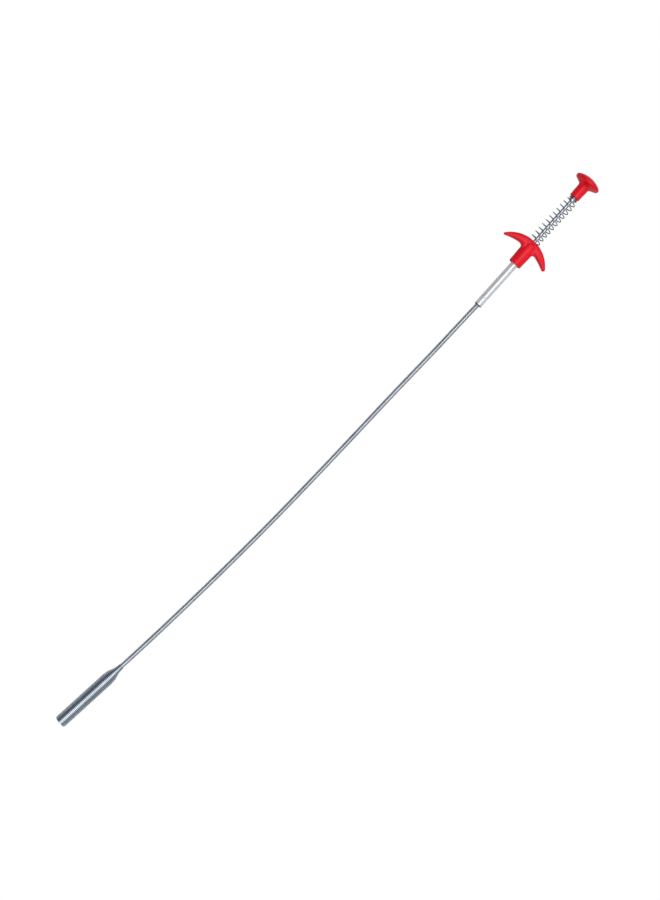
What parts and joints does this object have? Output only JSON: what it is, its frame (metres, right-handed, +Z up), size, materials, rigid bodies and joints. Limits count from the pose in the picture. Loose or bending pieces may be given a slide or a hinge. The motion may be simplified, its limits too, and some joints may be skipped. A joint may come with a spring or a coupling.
{
  "type": "drain auger",
  "caption": "Flexible drain claw: close-wound steel shaft with a wider coil head, finger grip, and a sprung thumb plunger that pushes spring claws out of the head.",
  "frame": {"origin": "bottom centre of the tool's bounding box as it lies on a flat surface, flexible shaft left out", "axes": "+X along the handle towards the thumb button, +Z up from the surface it lies on, +Y completes the frame"},
  "size_m": [0.6057, 0.0557, 0.0224],
  "materials": {
    "red_plastic": "glossy moulded red",
    "bright_tube": "bright plated steel",
    "rod_steel": "bright drawn",
    "spring_wire": "spring steel wire",
    "shaft_wire": "close-wound zinc-plated wire",
    "head_wire": "close-wound zinc-plated wire",
    "cable_steel": "plain steel",
    "claw_wire": "spring steel wire",
    "brass": "turned"
  },
  "bodies": {
    "handle": {"finger_grip": "red_plastic", "handle_tube": "bright_tube", "guide_bush": "brass", "casing_ferrule": "brass", "flexible_shaft": "shaft_wire", "inner_cable": "cable_steel", "head_coil": "head_wire", "return_spring": "spring_wire"},
    "plunger": {"thumb_button": "red_plastic", "plunger_rod": "rod_steel", "rod_collar": "rod_steel", "cable_crimp": "cable_steel"},
    "claw_carrier": {"claw_ferrule": "cable_steel"},
    "claw_1_body": {"claw_1": "claw_wire"},
    "claw_2_body": {"claw_2": "claw_wire"},
    "claw_3_body": {"claw_3": "claw_wire"},
    "claw_4_body": {"claw_4": "claw_wire"}
  },
  "joints": [
    {"name": "plunger_slide", "type": "slide", "parent": "handle", "child": "plunger", "axis": [-0.9981, 0, -0.0614], "range_m": [0, 0.028], "stiffness_N_per_m": 150, "springref_m": -0.012, "deforming": ["return_spring", "inner_cable"]},
    {"name": "claw_slide", "type": "slide", "parent": "handle", "child": "claw_carrier", "axis": [-0.9942, 0.108, 0], "range_m": [0, 0.0281]},
    {"name": "claw_1_splay", "type": "hinge", "parent": "claw_carrier", "child": "claw_1_body", "pos_m": [-0.27036, 0.02023, 0.00605], "axis": [0.0764, 0.703, -0.7071], "range_deg": [0, 12.6]},
    {"name": "claw_2_splay", "type": "hinge", "parent": "claw_carrier", "child": "claw_2_body", "pos_m": [-0.27036, 0.02023, 0.00435], "axis": [-0.0764, -0.703, -0.7071], "range_deg": [0, 12.6]},
    {"name": "claw_3_splay", "type": "hinge", "parent": "claw_carrier", "child": "claw_3_body", "pos_m": [-0.27054, 0.01855, 0.00435], "axis": [-0.0764, -0.703, 0.7071], "range_deg": [0, 12.6]},
    {"name": "claw_4_splay", "type": "hinge", "parent": "claw_carrier", "child": "claw_4_body", "pos_m": [-0.27054, 0.01855, 0.00605], "axis": [0.0764, 0.703, 0.7071], "range_deg": [0, 12.6]}
  ],
  "couplings": [
    {"joint": "claw_slide", "follows": "plunger_slide", "ratio": 1},
    {"joint": "claw_1_splay", "follows": "plunger_slide", "rad_per_m": 7.8},
    {"joint": "claw_2_splay", "follows": "plunger_slide", "rad_per_m": 7.8},
    {"joint": "claw_3_splay", "follows": "plunger_slide", "rad_per_m": 7.8},
    {"joint": "claw_4_splay", "follows": "plunger_slide", "rad_per_m": 7.8}
  ]
}
